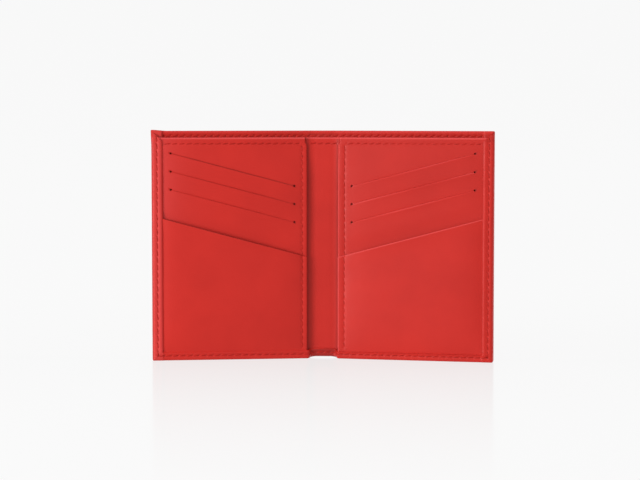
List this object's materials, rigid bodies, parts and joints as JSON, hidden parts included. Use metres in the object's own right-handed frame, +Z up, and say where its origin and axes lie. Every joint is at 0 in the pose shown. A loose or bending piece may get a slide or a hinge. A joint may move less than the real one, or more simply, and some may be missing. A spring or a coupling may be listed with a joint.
{
  "type": "card holder",
  "caption": "Bifold leather card holder with slanted card slots, a front pocket on each leaf and a full-length compartment behind them, standing open on its edge.",
  "frame": {"origin": "midway between the leaves' outer edges, centred front to back, on the surface that it stands on", "axes": "+X to the right as the inside is read, +Y from the inside towards the outside of the spine, +Z up along the fold lines"},
  "size_m": [0.156, 0.0176, 0.105],
  "materials": {
    "cover_leather": "smooth dyed calf, semi-matt, turned edges",
    "inner_leather": "smooth dyed calf, semi-matt",
    "lining_cloth": "fine plain-weave lining cloth",
    "board": "grey bonded board",
    "thread": "bonded polyester sewing thread"
  },
  "bodies": {
    "spine": {"spine_cover": "cover_leather", "spine_cover_lining": "lining_cloth", "spine_divider": "inner_leather", "spine_perimeter_thread": "thread", "spine_top_hem_thread": "thread", "spine_divider_thread": "thread", "spine_outer_thread_top": "thread", "spine_outer_thread_bottom": "thread"},
    "left_leaf": {"left_cover": "cover_leather", "left_stiffener": "board", "left_cover_lining": "lining_cloth", "left_divider": "inner_leather", "left_panel_lining": "lining_cloth", "left_slit_panel": "inner_leather", "left_front_pocket": "inner_leather", "left_perimeter_thread": "thread", "left_outer_thread": "thread", "left_top_hem_thread": "thread", "left_divider_thread": "thread", "left_panel_thread": "thread", "left_upper_slot_bag": "lining_cloth", "left_middle_slot_bag": "lining_cloth", "left_lower_slot_bag": "lining_cloth"},
    "right_leaf": {"right_cover": "cover_leather", "right_stiffener": "board", "right_cover_lining": "lining_cloth", "right_divider": "inner_leather", "right_panel_lining": "lining_cloth", "right_slit_panel": "inner_leather", "right_front_pocket": "inner_leather", "right_perimeter_thread": "thread", "right_outer_thread": "thread", "right_top_hem_thread": "thread", "right_divider_thread": "thread", "right_panel_thread": "thread", "right_upper_slot_bag": "lining_cloth", "right_middle_slot_bag": "lining_cloth", "right_lower_slot_bag": "lining_cloth"}
  },
  "joints": [
    {"name": "left_fold", "type": "hinge", "parent": "spine", "child": "left_leaf", "pos_m": [-0.0049, 0.00591, 0], "axis": [0, 0, 1], "range_deg": [-9, 81]},
    {"name": "right_fold", "type": "hinge", "parent": "spine", "child": "right_leaf", "pos_m": [0.0049, 0.00591, 0], "axis": [0, 0, -1], "range_deg": [-9, 81]}
  ]
}
